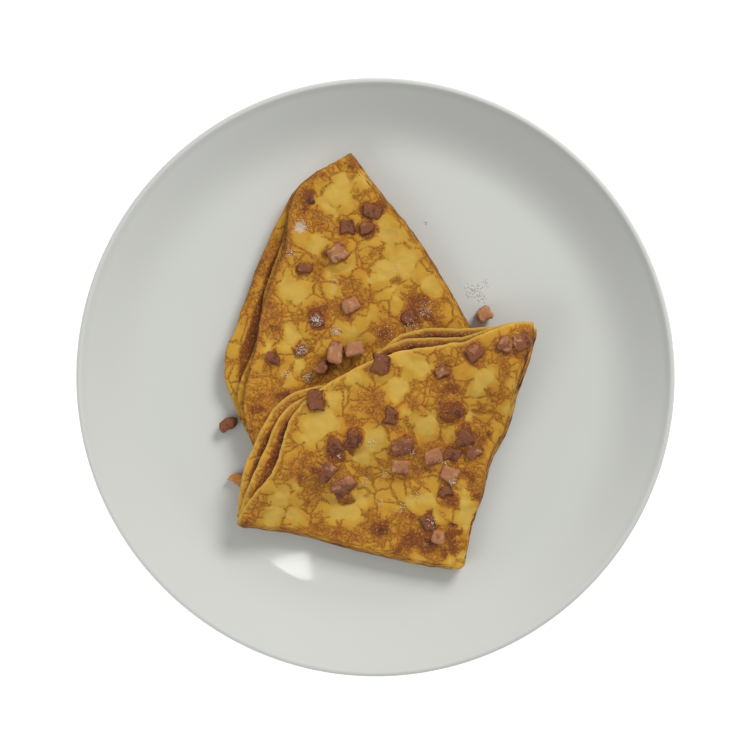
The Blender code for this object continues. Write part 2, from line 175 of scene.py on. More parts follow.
FRONT_PATCHES = (
    (0, -10, 6, 0.4), (-2, -17, 5, 0.4), (-10, -22, 4, 0.4), (19, -16, 3, 0.4), (31, 1, 4, 0.6),
    (34, -6, 5, 0.6), (36, -14, 5, 0.9), (40, -17, 4, 0.8), (47, 12, 5, 0.7), (62, 13, 5, 0.7),
    (69, 18, 6, 0.6), (56, -9, 4, 0.45), (52, -15, 4, 0.5), (51, -22, 4, 0.5), (49, -29, 6, 0.6),
    (54, -27, 2.5, 1.0), (40, -36, 6, 0.8), (48, -38, 4, 0.6), (45, -47, 6, 0.6), (20, -44, 5, 0.5),
    (35, -59, 4, 0.8), (50, -56, 3, 0.8), (-32, -35, 5, 0.4), (-34, -44, 5, 0.5), (-26, -46, 5, 0.7),
    (-30, -53, 4, 0.5), (-32, -61, 3, 0.5), (-7, -53, 3, 0.4), (5, -50, 4, 0.35), (18, -54, 4, 0.35),
    (-61, -69, 3.5, 0.8), (-28, -71, 4, 0.4), (-18, -74, 5, 0.5), (-9, -77, 4, 0.5), (2, -71, 6, 1.0),
    (11, -81, 5, 0.8), (15, -68, 4, 0.7), (17, -78, 7, 0.95), (24, -79, 7, 1.0), (26, -71, 5, 0.9),
    (37, -78, 6, 0.9), (37, -70, 2.5, 1.1), (31, -84, 4, 0.9), (41, -76, 4, 0.7),
    (-9, -1, 5, -0.9), (-19, -10, 6, -0.9), (-25, -22, 9, -1.2), (-32, -29, 5, -0.8), (11, -5, 6, -1.0),
    (22, 5, 6, -1.0), (14, 8, 4, -0.8), (50, -2, 8, -1.3), (65, -5, 4, -0.9), (61, -14, 4, -0.8),
    (23, -22, 7, -1.1), (16, -18, 4, -0.7), (46, -19, 4.5, -0.9), (-2, -31, 7, -1.0), (-5, -37, 5, -0.9),
    (36, -30, 4, -0.6), (-16, -64, 8, -1.1), (-9, -57, 6, -1.0), (43, -62, 7, -1.2), (42, -54, 4, -1.0),
    (26, -61, 5, -0.9), (17, -61, 5, -0.9), (30, -67, 3.5, -0.8), (-45, -57, 6, -1.0), (-50, -66, 6, -1.0),
    (-39, -66, 5, -0.9), (-37, -50, 4, -0.8), (38, -88, 6, -1.1), (20, -86, 5, -0.8), (44, -70, 4, -0.7),
)

# Sugar, as little heaps of grains: x, y, radius in mm and the number of grains.
SUGAR_HEAPS = (
    (-36, 71, 4, 70), (-40, 59, 2.4, 26), (-28, 27, 3, 90), (-19, 22, 3, 44), (-35, 13, 3, 44),
    (-43, 1, 2.4, 24), (24, 32, 4.4, 34), (17, 25, 4.6, 34), (4, 20, 5, 18), (-32, 0, 2.6, 34),
    (-17, -37, 1.2, 12), (-2, -31, 2.4, 16), (4, -46, 1.4, 18), (-5, -50, 2.4, 14), (2, -59, 2, 10),
    (12, -62, 3, 18), (37, -50, 2, 26), (17, -35, 2, 10), (33, -41, 1.2, 10), (20, -58, 4, 20),
    (27, -69, 3, 20), (-20, 46, 3, 14), (9, 52, 3, 14),
)
PLATE_SUGAR = ((47, 42, 4.2, 90), (51, 38, 2.6, 50), (53, 45, 2.4, 24), (24, 75, 1.6, 14))

SKY = 60 * MM  # above all of the food


def pieces(group, *numbers):
    return tuple(f"bacon_{group}_{number:02d}" for number in numbers)


# How the bacon was fried. Pieces in none of the lists are pink.
DARK_BACON = (
    pieces("back", 1, 2, 3, 4, 8, 9, 11) + pieces("front", 1, 2, 3, 4, 7, 9, 16, 17, 20, 22)
    + pieces("loose", 5)
)
BROWN_BACON = pieces("back", 6, 10) + pieces("front", 5, 6, 8, 10, 11, 12, 13, 18) + pieces("loose", 3)
SHRED = "bacon_loose_06"
LUMP = "bacon_back_05"
# For each kind: the browning of the piece and of the batter round it, how far it stands out of the batter,
# and the rounding and warp of its shape.
BACON_STYLES = {
    "dark": {"fried": 0.98, "halo": 0.65, "proud": 1.4 * MM, "rounds": 15, "warp": 2.4 * MM},
    "brown": {"fried": 0.70, "halo": 0.5, "proud": 2.2 * MM, "rounds": 13, "warp": 1.7 * MM},
    "rind": {"fried": 0.30, "halo": 0.3, "proud": 2.0 * MM, "rounds": 8, "warp": 1.0 * MM},
    "lump": {"fried": 0.50, "halo": 0.3, "proud": 2.4 * MM, "rounds": 60, "warp": 0.8 * MM},
    "pink": {"fried": 0.32, "halo": 0.35, "proud": 2.1 * MM, "rounds": 14, "warp": 1.0 * MM},
}

# The lamps. The glint is small, and shows as one bright patch in the glaze.
KEY_AT = (1.06, 1.56, 1.44)
BOUNCE_AT = (-0.50, -0.36, 0.45)
BOUNCE_AIM = (-0.05, -0.03, 0)
GLINT_AT = (-0.1013, -0.2270, 1.3)
GLINT_AIM = (-0.041, -0.093, 0)
GLINT_TURN = math.radians(38)
GLINT_SPREAD = math.radians(9)


def colour(label, value):
    return FloatVectorProperty(name=label, description=label, subtype="COLOR", size=3, min=0, max=1,
                               default=value)


def length(label, value, description):
    return FloatProperty(name=label, description=description, default=value, unit="LENGTH", precision=5)


def power(label, value, description):
    return FloatProperty(name=label, description=description, default=value, unit="POWER")


def number(label, value, description):
    return IntProperty(name=label, description=description, default=value, min=1)


class PlateSettings(bpy.types.PropertyGroup):
    radius: length("Radius", CAD_BOX[1][0], "Half of the plate's width")
    steps: number("Steps", 256, "Segments round the plate")
    glaze: colour("Glaze", (0.76, 0.775, 0.735))
    roughness: FloatProperty(name="Roughness", description="Roughness of the glaze", default=0.03)


class PancakeSettings(bpy.types.PropertyGroup):
    seed: number("Seed", 3, "Seed of the noise that moves the patches")
    rings: number("Rings", 128, "Steps from the tip to the open edge")
    top_steps: number("Top steps", 180, "Steps along the top layer's arc")
    under_steps: number("Under steps", 48, "Steps along the other layers")
    fold_steps: number("Fold steps", 7, "Steps round a fold")
    lump: length("Lumps", 0.45 * MM, "Height of the broad lumps of the top layer")
    blister: length("Blisters", 0.22 * MM, "Height of the small blisters")
    halo: length("Halo", 2.0 * MM, "Width of the browned batter round a piece of bacon")
    pale: colour("Pale cells", (0.73, 0.462, 0.086))
    yellow: colour("Yellow batter", (0.67, 0.370, 0.045))
    olive: colour("Dull cells", (0.52, 0.322, 0.040))
    golden: colour("Golden batter", (0.64, 0.288, 0.031))
    amber: colour("Toasted batter", (0.54, 0.200, 0.027))
    net: colour("Brown lines", (0.27, 0.088, 0.013))
    # Browned patches; also the painted shade deep between the layers and on the layers below the top.
    crust: colour("Browned patches", (0.235, 0.066, 0.015))
    char: colour("Darkest spots", (0.070, 0.018, 0.008))
    # Light grains, partly painted highlights in the toasted zones.
    crumb_and_highlight: colour("Light grains", (0.74, 0.42, 0.15))
    frost: colour("Melted sugar", (0.80, 0.68, 0.52))


class BaconSettings(bpy.types.PropertyGroup):
    seed: number("Seed", 5, "Seed of the noise that warps the pieces")
    voxel: length("Grid", 0.40 * MM, "Grid that a piece is rounded on")
    lean: colour("Lean meat", (0.52, 0.222, 0.100))
    fat: colour("Fat", (0.66, 0.38, 0.20))
    fried: colour("Fried surface", (0.25, 0.079, 0.031))
    dark: colour("Dark crust", (0.095, 0.025, 0.015))
    rind: colour("Orange rind", (0.64, 0.24, 0.045))


class SugarSettings(bpy.types.PropertyGroup):
    grain: length("Grain", 0.22 * MM, "Half size of a sugar crystal")
    crystal: colour("Crystal", (0.92, 0.89, 0.82))


class StudioSettings(bpy.types.PropertyGroup):
    camera_height: length("Camera height", 0.9, "Height of the camera above the table")
    lens: FloatProperty(name="Lens", description="Focal length for a sensor 36 mm wide", default=88.8,
                        unit="CAMERA")
    key_power: power("Key light", 36.5, "Power of the soft key light")
    glint_power: power("Glint", 0.000085, "Power of the lamp that shows in the glaze")
    bounce_power: power("Bounce", 1.3, "Power of the pale card at the lower left")
    fill: FloatProperty(name="Fill", description="Strength of the light all round", default=0.33)
    floor: colour("Floor", (0.9, 0.9, 0.9))


# Shader maths

def maths(operation, swapped=False):
    """A method that adds a Math node for an operation on two values."""

    def method(self, other):
        values = (other, self) if swapped else (self, other)
        return self.shader.add("ShaderNodeMath", {"operation": operation}, dict(enumerate(values)))

    return method


class Socket:
    """An output of a shader node. Arithmetic on it adds Math nodes."""

    def __init__(self, shader, socket):
        self.shader = shader
        self.socket = socket

    __add__, __radd__ = maths("ADD"), maths("ADD", swapped=True)
    __sub__, __rsub__ = maths("SUBTRACT"), maths("SUBTRACT", swapped=True)
    __mul__, __rmul__ = maths("MULTIPLY"), maths("MULTIPLY", swapped=True)
    maximum, minimum = maths("MAXIMUM"), maths("MINIMUM")


class Shader:
    """A material with a Principled BSDF, built from expressions."""

    def __init__(self, name):
        self.material = bpy.data.materials.new(name)
        self.material.use_nodes = True
        self.tree = self.material.node_tree
        self.surface = self.tree.nodes["Principled BSDF"]

    def add(self, kind, settings, inputs, output=0):
        """A node of a kind, with its settings and the values or links of its inputs."""
        node = self.tree.nodes.new(kind)
        for name, value in settings.items():
            setattr(node, name, value)
        for key, value in inputs.items():
            self.feed(node.inputs[key], value)
        return Socket(self, node.outputs[output])

    def feed(self, target, value):
        if isinstance(value, Socket):
            self.tree.links.new(value.socket, target)
        elif hasattr(value, "__len__"):
            target.default_value = tuple(value) + (1,) * (len(target.default_value) - len(value))
        else:
            target.default_value = value

    def set(self, **inputs):
        for name, value in inputs.items():
            self.feed(self.surface.inputs[name.replace("_", " ").title().replace("Ior", "IOR")], value)

    def place(self):
        return self.add("ShaderNodeTexCoord", {}, {}, "Object")

    def attribute(self, name):
        return self.add("ShaderNodeAttribute", {"attribute_name": name}, {}, "Fac")

    def offset(self, vector, shift):
        return self.add("ShaderNodeVectorMath", {"operation": "ADD"}, {0: vector, 1: shift})

    def noise(self, vector, size, detail=2.0, roughness=0.5):
        """Noise from 0 to 1 with features of a real size."""
        inputs = {"Vector": vector, "Scale": 1 / size, "Detail": detail, "Roughness": roughness}
        return self.add("ShaderNodeTexNoise", {}, inputs, "Fac")

    def drift(self, vector, size, distance):
        """Moves a place about by smooth noise, up to a real distance."""
        inputs = {"Vector": vector, "Scale": 1 / size, "Detail": 2.0}
        shift = self.add("ShaderNodeTexNoise", {}, inputs, "Color")
        centred = self.add("ShaderNodeVectorMath", {"operation": "SUBTRACT"}, {0: shift, 1: (0.5,) * 3})
        inputs = {0: centred, "Scale": 2 * distance}
        return self.offset(vector, self.add("ShaderNodeVectorMath", {"operation": "SCALE"}, inputs))

    def cells(self, vector, size, output, **settings):
        """An output of a pattern of cells of a real size. Distances are shares of that size."""
        return self.add("ShaderNodeTexVoronoi", settings, {"Vector": vector, "Scale": 1 / size}, output)

    def wall(self, vector, size):
        """Distance to the nearest wall between cells."""
        return self.cells(vector, size, "Distance", feature="DISTANCE_TO_EDGE")

    def cell(self, vector, size):
        """A steady random number for each cell."""
        return self.add("ShaderNodeSeparateColor", {}, {0: self.cells(vector, size, "Color")}, 0)

    def web(self, vector, size, rough, width):
        """A net of thin lines between cells of a real size. Rough breaks up their edges."""
        return 1 - self.step(self.wall(vector, size) + rough, width * 0.3, width)

    def corners(self, vector, size, rough):
        """What lies outside the rounded middle of each cell."""
        return self.step(self.cells(vector, size, "Distance") + rough, 0.55, 0.78)

    def step(self, value, low, high):
        """0 below low, 1 above high, and smooth between them."""
        settings = {"interpolation_type": "SMOOTHSTEP"}
        return self.add("ShaderNodeMapRange", settings, {"Value": value, "From Min": low, "From Max": high})

    def mix(self, start, end, share):
        return self.add("ShaderNodeMix", {"data_type": "RGBA"}, {0: share, 6: start, 7: end}, 2)

    def bump(self, height, distance):
        return self.add("ShaderNodeBump", {}, {"Height": height, "Distance": distance, "Strength": 1.0})


# Shared shapes

def smoothstep(share):
    share = min(max(share, 0.0), 1.0)
    return share * share * (3 - 2 * share)


def along(values, share):
    """A smooth curve through evenly spaced values, read at a share of its length."""
    last = len(values) - 1
    place = min(max(share, 0.0), 1.0) * last
    i = min(int(place), last - 1)
    t = place - i
    before, start = values[max(i - 1, 0)], values[i]
    end, after = values[i + 1], values[min(i + 2, last)]
    cubic = 3 * (start - end) + after - before
    square = 2 * before - 5 * start + 4 * end - after
    return start + 0.5 * t * (end - before + t * (square + t * cubic))


def heading(degrees):
    return Vector((math.cos(math.radians(degrees)), math.sin(math.radians(degrees))))


def quarter_turn(v):
    return Vector((-v.y, v.x))


def modify(obj, name, kind, **settings):
    modifier = obj.modifiers.new(name, kind)
    for key, value in settings.items():
        setattr(modifier, key, value)


def finish(obj):
    """Replaces an object's mesh by its evaluated one, with all modifiers applied."""
    bpy.context.view_layer.update()
    evaluated = obj.evaluated_get(bpy.context.evaluated_depsgraph_get())
    mesh = bpy.data.meshes.new_from_object(evaluated)
    obj.modifiers.clear()
    obj.data = mesh
    mesh.name = obj.name
    mesh.shade_smooth()


def add_piece(name, mesh, material, node=None):
    piece = bpy.data.objects.new(name, mesh)
    bpy.context.scene.collection.objects.link(piece)
    mesh.materials.clear()
    mesh.materials.append(material)
    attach(piece, "root")
    if node:
        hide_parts(node)
    return piece


# The plate

def well_height(radius):
    """Height of the plate's upper side: a flat well, a soft bend and a straight wall."""
    bend = BEND_RADIUS - WELL_RADIUS
    t = min(max((radius - WELL_RADIUS) / bend, 0.0), 1.0)
    return WELL_TOP + WALL_SLOPE * (bend * (t**3 - t**4 / 2) + max(radius - BEND_RADIUS, 0.0))


def plate_surface(x, y):
    return well_height(math.hypot(x, y))


def plate_profile(radius):
    """The plate's section at +X, from the middle of the well over the rim and down to the base."""
    rim_at = radius - 2 * RIM_ROUND
    rim_x, rim_z = radius - RIM_ROUND, well_height(rim_at) - 0.4 * MM
    inner_radii = [k * WELL_STEP for k in range(13)] + [WELL_RADIUS + k * WALL_STEP for k in range(22)]
    inner = [(r, well_height(r)) for r in inner_radii if r < rim_at - MM] + [(rim_at, well_height(rim_at))]
    rim_turns = [math.radians(120 - k * 13) for k in range(11)]
    rim = [(rim_x + RIM_ROUND * math.cos(a), rim_z + RIM_ROUND * math.sin(a)) for a in rim_turns]
    outer_radii = [radius - 4 * MM - k * UNDER_STEP for k in range(18)]
    outer = [
        (r, well_height(r) - PLATE_THICKNESS * (1 + 0.12 * smoothstep((r - WELL_RADIUS) / (40 * MM))))
        for r in outer_radii if r > FOOT_RADIUS + 6 * MM
    ]
    base = WELL_TOP - PLATE_THICKNESS
    foot_inner = FOOT_RADIUS - FOOT_WIDTH
    foot = [
        (FOOT_RADIUS + 2 * MM, base),
        (FOOT_RADIUS, FOOT_CHAMFER),
        (FOOT_RADIUS - FOOT_CHAMFER, 0.0),
        (foot_inner, 0.0),
        (foot_inner - 1.5 * MM, base),
        (0.0, base),
    ]
    return inner + rim + outer + foot


def glaze_material(settings):
    """White glaze: even, glossy, with a faint ripple, faint clouds and small specks."""
    shader = Shader("white_glaze")
    place = shader.place()
    ripple = shader.noise(place, 30 * MM, 1.0)
    cloud = shader.noise(place, 60 * MM, 3.0)
    tint = shader.mix(settings.glaze, [c * 0.975 for c in settings.glaze], cloud)
    speck = shader.step(shader.noise(place, 1.3 * MM, 1.0), 0.80, 0.84)
    shader.set(
        base_color=shader.mix(tint, [c * 0.9 for c in settings.glaze], speck * 0.35),
        roughness=settings.roughness + 0.02 * cloud,
        normal=shader.bump(ripple, 0.05 * MM),
        ior=1.52,
    )
    return shader.material


class PANCAKE_OT_plate(bpy.types.Operator):
    """Turns the white plate"""

    bl_idname = "pancake.plate"
    bl_label = "Plate"

    def execute(self, context):
        settings = context.scene.pancake_plate
        points = plate_profile(settings.radius)
        mesh = bpy.data.meshes.new("plate_white")
        mesh.from_pydata([(r, 0, z) for r, z in points], [(i, i + 1) for i in range(len(points) - 1)], [])
        plate = add_piece("plate_white", mesh, glaze_material(settings), "plate")
        modify(plate, "turn", "SCREW", axis="Z", steps=settings.steps, render_steps=settings.steps,
               use_merge_vertices=True, merge_threshold=0.05 * MM, use_smooth_shade=True)
        return {"FINISHED"}


# The pancakes

class Pancake:
    """A disc folded in four. Side A shows two folds, one over the other, and one wide fold wraps side B.

    Layers are counted from the plate up. Layers 0 and 1 are the lower pair, and 2 and 3 the upper pair.
    """

    toast = 0.0  # browning of the whole top
    edge_crust = 0.0  # browning along the open edge
    painted_gap_shade = 0.0  # painted shade deep between the layers
    gap_from = 2.5 * MM  # how far in from the open edge that starts
    under_crust_and_shade = (0.0, 0.0)  # browning and painted shade of the layers below the top, at side A and side B
    lip = 1.0  # how pale the open edge is
    curl_height = 0.7 * MM  # how far the open edge turns up

    def __init__(self, tip, side_a, side_b, edges, fold_waves, support, wave):
        self.tip = Vector(tip)
        self.side_a = side_a
        self.side_b = side_b
        self.edges = edges
        self.fold_waves = fold_waves
        self.support = support
        self.wave = wave
        self.turning = 1 if side_b > side_a[UPPER_PAIR] else -1
        self.out_b = quarter_turn(heading(side_b)) * self.turning
        self.out_a = [quarter_turn(heading(a)) * -self.turning for a in side_a]
        self.centre = self.find_centre()
        self.span = math.radians(abs(side_b - side_a[UPPER_PAIR]))
        self.bacon = []
        self.settings = None

    def find_centre(self):
        """Where the layers' straight sides meet: inside the tip by the folds' own reach."""
        along_a, along_b = heading(self.side_a[UPPER_PAIR]), heading(self.side_b)
        reach_a = PITCH_AT_FOLDS / 2 + SHEET / 2
        reach_b = PITCH_AT_FOLDS * WRAP_BULGE + SHEET / 2
        return (
            self.tip
            - along_b * (reach_a / along_b.dot(self.out_a[UPPER_PAIR]))
            - along_a * (reach_b / along_a.dot(self.out_b))
        )

    def angle(self, layer, share):
        start = self.side_a[layer // 2]
        return start + (self.side_b - start) * share

    def reach(self, layer, share):
        """Distance from the centre to this layer's open edge."""
        ripple = 0.7 * MM * math.sin(math.pi * share) * math.sin(17 * share + 2.1 * layer + self.wave)
        wanted = along(self.edges[layer], share) * MM + ripple
        return wanted - (self.centre - self.tip).dot(heading(self.angle(layer, share)))

    def ragged(self, layer, share):
        """The lacy edge of fried batter, on top of its reach."""
        place = Vector((share * 24, layer * 7.3, self.wave))
        fine = noise.noise(place * 3.1) * 0.35 + noise.noise(place * 7.7) * 0.2
        window = min(1.0, 12 * share, 12 * (1 - share))
        return (noise.noise(place) * 0.6 + fine) * MM * window

    def pitch(self, radius):
        return PITCH_AT_FOLDS + (PITCH_AT_EDGE - PITCH_AT_FOLDS) * smoothstep(radius / PANCAKE_RADIUS)

    def height(self, layer, x, y, radius, share):
        """Height of the middle of a layer. The layers share broad waves, which grow towards the edge."""
        out = min(radius / PANCAKE_RADIUS, 1.0) ** 2
        common = 0.5 * MM * out * (1 + math.sin(9 * share + self.wave))
        own = 0.15 * MM * out * math.sin(14 * share + 1.9 * layer + self.wave)
        swell = 0.25 * MM * (2 + math.sin(95 * x + self.wave) + math.cos(80 * y - 1.3 * self.wave))
        base = self.support(x, y) + REST_GAP + SHEET / 2
        return base + swell + common + own + layer * self.pitch(radius)

    def relief(self, layer, x, y, radius, share):
        """What the fried batter adds to a layer's even height."""
        place = Vector((x, y, 0.01 * layer + 0.1 * self.wave))
        window = min(1.0, 5 * share, 5 * (1 - share)) if layer != TOP_LAYER else 1.0
        lumps = self.settings.lump * noise.noise(place * 42)
        if layer != TOP_LAYER:
            return lumps * 0.7 * window
        blisters = self.settings.blister * abs(noise.noise(place * 170)) * 2
        fine = 0.10 * MM * noise.noise(place * 420)
        rise, calm = 0.0, 0.0
        for bx, by, half, _, high in self.bacon:
            away = (math.hypot(x - bx, y - by) - half) / POCKET_SLOPE
            if away < 1:
                near = 1 - smoothstep(away)
                rise, calm = max(rise, high * near, key=abs), max(calm, near)
        return (lumps + blisters + fine) * (1 - 0.75 * calm) + rise

    def curl(self, layer, radius, reach, share):
        """The open edge turns up a little."""
        lift = 0.55 + 0.45 * noise.noise(Vector((share * 9, layer * 3.7, self.wave)))
        lift *= smoothstep(share * 6) * smoothstep((1 - share) * 6)
        width = max(CURL_WIDTH, 4 * self.curl_height)
        return self.curl_height * lift * smoothstep((radius - reach + width) / width)

    def polar(self, x, y):
        """Radius of a point seen from above, and its share of the way from side A to side B."""
        v = Vector((x, y)) - self.centre
        angle = math.degrees(math.atan2(v.y, v.x)) % 360
        start = self.side_a[UPPER_PAIR]
        return v.length, (angle - start) / (self.side_b - start)

    def top(self, x, y):
        """Height of the top layer's upper side, carried on past its outline."""
        radius, share = self.polar(x, y)
        share = min(max(share, 0.0), 1.0)
        radius = min(radius, self.reach(TOP_LAYER, share))
        return self.height(TOP_LAYER, x, y, radius, share) + SHEET / 2

    def distance(self, x, y):
        """How far a point lies outside the pancake's outline, and 0 inside."""
        radius, share = self.polar(x, y)
        if 0 <= share <= 1:
            return max(radius - max(self.reach(k, share) for k in range(4)), 0.0)
        side = 0.0 if share < 0 else 1.0
        line = heading(self.angle(TOP_LAYER, side))
        v = Vector((x, y)) - self.centre
        nearest = line * min(max(v.dot(line), 0.0), self.reach(1, side))
        return (v - nearest).length

    def fold_wave(self, ring, share):
        """How far the sides' own waves carry a point outwards."""
        wave_a, wave_b = (
            along(values, ring) * MM
            + 0.35 * MM * noise.noise(Vector((ring * 26, self.wave, row))) * smoothstep(ring * 8)
            for values, row in zip(self.fold_waves, (0, 5))
        )
        return self.out_a[UPPER_PAIR] * (wave_a * (1 - share) ** 2) + self.out_b * (wave_b * share**2)

    def layer_point(self, layer, ring, share):
        reach = self.reach(layer, share) + self.ragged(layer, share)
        radius = NOSE + (reach - NOSE) * ring
        flat = self.centre + heading(self.angle(layer, share)) * radius + self.fold_wave(ring, share)
        if layer in (1, 2):
            flat -= self.out_b * (INNER_INSET * self.pitch(radius) * share)
        height = self.height(layer, flat.x, flat.y, radius, share)
        height += self.relief(layer, flat.x, flat.y, radius, share) + self.curl(layer, radius, reach, share)
        return Vector((flat.x, flat.y, height))

    def fold_points(self, start, end, outward, bulge):
        """Points of a half-round fold between the ends of two layers, without the ends themselves."""
        middle, half = (start + end) / 2, (end - start) / 2
        points = []
        for k in range(1, self.settings.fold_steps + 1):
            turn = math.pi * k / (self.settings.fold_steps + 1)
            side = outward * (bulge * math.sin(turn))
            points.append(middle - half * math.cos(turn) + Vector((side.x, side.y, 0)))
        return points

    def ring_points(self, ring):
        """One closed row of the folded sheet, all the way round the disc."""
        layers = []
        for layer in range(4):
            steps = self.settings.top_steps if layer == TOP_LAYER else self.settings.under_steps
            layers.append([self.layer_point(layer, ring, k / steps) for k in range(steps + 1)])
        ends = ((1, 0, 0), (2, 1, -1), (3, 2, 0), (3, 0, -1))
        half = [(layers[a][i] - layers[b][i]).length / 2 for a, b, i in ends]
        folds = [
            self.fold_points(layers[0][0], layers[1][0], self.out_a[LOWER_PAIR], half[0]),
            self.fold_points(layers[1][-1], layers[2][-1], self.out_b, half[1]),
            self.fold_points(layers[2][0], layers[3][0], self.out_a[UPPER_PAIR], half[2]),
            self.fold_points(layers[3][-1], layers[0][-1], self.out_b, half[3] * WRAP_BULGE / 1.5),
        ]
        return (
            layers[0][::-1] + folds[0] + layers[1] + folds[1]
            + layers[2][::-1] + folds[2] + layers[3] + folds[3]
        )

    def row_marks(self):
        """For each point of a row: its layer, how far round a fold it is, and its nearness to a side."""
        top, under, fold = self.settings.top_steps, self.settings.under_steps, self.settings.fold_steps
        marks = []
        for layer, steps, following in ((0, under, 1), (1, under, 2), (2, under, 3), (3, top, 0)):
            marks += [(layer, 0.0, min(k, steps - k) / steps) for k in range(steps + 1)]
            for k in range(1, fold + 1):
                share = k / (fold + 1)
                marks.append((layer + (following - layer) * share, math.sin(math.pi * share), 0.0))
        return marks


def crust_at(point, pancake, patches, layer, from_edge):
    """How browned the batter is at a point: above 0 in patches and round bacon, below 0 in pale cells. On
    the layers below the top it also holds painted shade.
    """
    rim = 0.0
    if from_edge < SCORCH_WIDTH:
        scorch = pancake.edge_crust * (0.7 + 1.2 * noise.noise(point * 60 + Vector((3, 1, layer))))
        rim = scorch * (2 - smoothstep(from_edge / SCORCH_WIDTH) - smoothstep(from_edge / SCORCH_LINE))
    if layer != TOP_LAYER:
        _, share = pancake.polar(point.x, point.y)
        # The layers below the top: browning with painted shade, from side A to side B.
        start, end = pancake.under_crust_and_shade
        cloud = 0.4 * noise.noise(point * 45 + Vector((0, 0, layer)))
        # Painted shade on the batter deep between the layers, growing away from the open edge.
        gap_shade = pancake.painted_gap_shade * smoothstep((from_edge - pancake.gap_from) / GAP_FADE)
        return start + (end - start) * smoothstep(share) + cloud + gap_shade + rim * 0.5
    drift = noise.noise_vector(point * 130) * PATCH_DRIFT
    px, py = point.x + drift.x, point.y + drift.y
    brown, pale = max(rim, 0.0), 0.0
    for x, y, radius, strength in patches:
        away = math.hypot(px / MM - x, py / MM - y) / radius
        if away < PATCH_SOFTNESS:
            share = strength * (1 - smoothstep(away / PATCH_SOFTNESS))
            brown, pale = max(brown, share), min(pale, share)
    for x, y, half, strength, _ in pancake.bacon:
        away = (math.hypot(px - x, py - y) - half) / pancake.settings.halo
        if away < 1:
            brown = max(brown, strength * (1 - smoothstep(away)))
    return brown + (pale + pancake.toast) * (1 - min(brown * 2, 1))


def frost_at(point):
    """How much sugar has melted into the batter at a point."""
    share = 0.0
    for x, y, radius, count in SUGAR_HEAPS:
        away = math.hypot(point.x / MM - x, point.y / MM - y) / (radius * 1.5)
        if away < 1:
            share = max(share, min(count / 60, 1) * (1 - smoothstep(away)))
    return share


def build_sheet(name, pancake, patches, settings):
    """The folded sheet, with marks for its layers, its folds, its open edge and its browned patches."""
    bm = bmesh.new()
    for mark in MARKS:
        bm.verts.layers.float.new(mark)
    crust, edge, fold, sheet, frost = (bm.verts.layers.float[mark] for mark in MARKS)
    thin = bm.verts.layers.deform.new()
    marks = pancake.row_marks()
    rows = []
    for k in range(settings.rings + 1):
        ring = k / settings.rings
        row = []
        for point, (layer, bend, inward) in zip(pancake.ring_points(ring), marks):
            vert = bm.verts.new(point)
            from_edge = (1 - ring) * PANCAKE_RADIUS
            nearest = TOP_LAYER if layer > TOP_LAYER - 0.5 or bend and layer > 0.5 else round(layer)
            vert[crust] = crust_at(point, pancake, patches, nearest, from_edge)
            vert[edge] = pancake.lip * (1 - smoothstep(from_edge / LIP_WIDTH))
            from_side = inward * pancake.span * ring * PANCAKE_RADIUS
            vert[fold] = 0.45 * bend + 0.55 * (1 - smoothstep(from_side / CREASE_WIDTH))
            vert[frost] = frost_at(point) if nearest == TOP_LAYER else 0.0
            vert[sheet] = layer
            vert[thin][0] = 1 - THINNED * (1 - smoothstep(from_edge / THIN_WIDTH))
            row.append(vert)
        rows.append(row)
    count = len(rows[0])
    for inner, outer in zip(rows, rows[1:]):
        for i in range(count):
            j = (i + 1) % count
            bm.faces.new((inner[i], inner[j], outer[j], outer[i]))
    bmesh.ops.recalc_face_normals(bm, faces=bm.faces)
    mesh = bpy.data.meshes.new(name)
    bm.to_mesh(mesh)
    bm.free()
    return mesh


def add_tip(piece, pancake):
    """The pressed round of batter at the folded corner, joined to the finished sheet."""
    x, y = pancake.centre + heading(pancake.angle(TOP_LAYER, 0.5)) * TIP_INWARD
    low = pancake.height(0, x, y, NOSE, 0.5) - SHEET / 2 + TIP_SUNK
    high = pancake.height(TOP_LAYER, x, y, NOSE, 0.5) + SHEET / 2 - TIP_SUNK
    bm = bmesh.new()
    bm.from_mesh(piece.data)
    before = set(bm.verts)
    moved = Matrix.Translation((x, y, (low + high) / 2))
    size = {"radius1": TIP_RADIUS, "radius2": TIP_RADIUS, "depth": high - low}
    made = bmesh.ops.create_cone(bm, cap_ends=True, segments=48, matrix=moved, **size)
    verts = set(made["verts"])
    rims = [e for e in bm.edges if e.verts[0] in verts and abs(e.verts[0].co.z - e.verts[1].co.z) < 1e-6]
    bmesh.ops.bevel(bm, geom=rims, offset=TIP_ROUND, segments=5, affect="EDGES", profile=0.5)
    sheet = bm.verts.layers.float["sheet"]
    crust = bm.verts.layers.float["crust"]
    for vert in bm.verts:
        if vert not in before:
            vert[sheet] = TOP_LAYER
            vert[crust] = TIP_CRUST
    bm.to_mesh(piece.data)
    bm.free()


